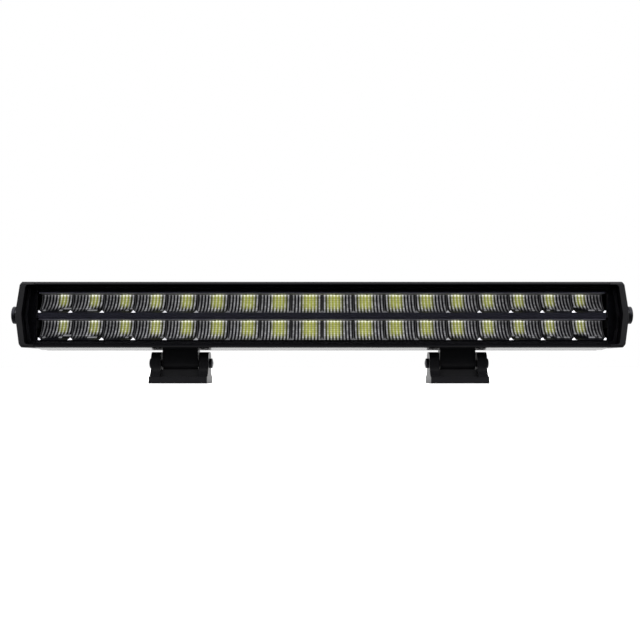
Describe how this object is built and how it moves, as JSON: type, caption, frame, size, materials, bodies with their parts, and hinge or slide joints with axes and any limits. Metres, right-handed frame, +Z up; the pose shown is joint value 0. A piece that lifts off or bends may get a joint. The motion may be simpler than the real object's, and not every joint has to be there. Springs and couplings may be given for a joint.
{
  "type": "led light bar",
  "caption": "Straight double-row side-shooting LED light bar with a finned housing, clear lens and sliding, tilting feet.",
  "frame": {"origin": "centre of the bounding box, on the plane that the feet stand on", "axes": "+X along the bar towards its right end as seen from the lit side, -Y the way the light shines, +Z up"},
  "size_m": [0.5798, 0.068, 0.0946],
  "materials": {
    "black_aluminium": "satin",
    "cast_black": "satin",
    "black_steel": "satin",
    "stainless": "satin",
    "rubber": "matte",
    "lens_clear": "clear",
    "metallised": "polished",
    "solder_mask_white": "satin",
    "phosphor": "satin",
    "solder_mask_green": "satin",
    "capacitor_sleeve": "gloss",
    "ferrite": "matte",
    "moulded_black": "matte",
    "wire_red": "gloss"
  },
  "bodies": {
    "lamp": {"housing": "black_aluminium", "end_cap_left": "cast_black", "end_cap_right": "cast_black", "end_seal_left": "rubber", "end_seal_right": "rubber", "end_cap_screws_left": "black_steel", "end_cap_screws_right": "black_steel", "side_bolt_left": "black_steel", "side_bolt_right": "black_steel", "side_washer_left": "stainless", "side_washer_right": "stainless", "lens": "lens_clear", "lens_seal": "rubber", "reflector_upper_left": "metallised", "reflector_upper_right": "metallised", "reflector_lower_left": "metallised", "reflector_lower_right": "metallised", "led_board_upper": "solder_mask_white", "led_board_lower": "solder_mask_white", "leds_upper": "phosphor", "leds_lower": "phosphor", "board_screws": "stainless", "driver_board": "solder_mask_green", "driver_capacitors": "capacitor_sleeve", "driver_inductors": "ferrite", "driver_chips": "moulded_black", "board_wires": "wire_red", "gland_body": "moulded_black", "gland_seal": "rubber", "gland_nut": "moulded_black", "gland_washer": "rubber", "breather_vent": "moulded_black", "vent_washer": "rubber"},
    "left_slider": {"slider_left": "cast_black", "lock_screws_left": "black_steel", "pivot_bolts_left": "black_steel", "pivot_spacers_left": "stainless"},
    "left_foot": {"foot_left": "cast_black"},
    "right_slider": {"slider_right": "cast_black", "lock_screws_right": "black_steel", "pivot_bolts_right": "black_steel", "pivot_spacers_right": "stainless"},
    "right_foot": {"foot_right": "cast_black"}
  },
  "joints": [
    {"name": "left_slide", "type": "slide", "parent": "lamp", "child": "left_slider", "axis": [1, 0, 0], "range_m": [-0.1, 0.09]},
    {"name": "left_tilt", "type": "hinge", "parent": "left_slider", "child": "left_foot", "pos_m": [-0.1348, 0, 0.0191], "axis": [1, 0, 0], "range_deg": [-48, 48]},
    {"name": "right_slide", "type": "slide", "parent": "lamp", "child": "right_slider", "axis": [1, 0, 0], "range_m": [-0.085, 0.105]},
    {"name": "right_tilt", "type": "hinge", "parent": "right_slider", "child": "right_foot", "pos_m": [0.129, 0, 0.0191], "axis": [1, 0, 0], "range_deg": [-48, 48]}
  ]
}
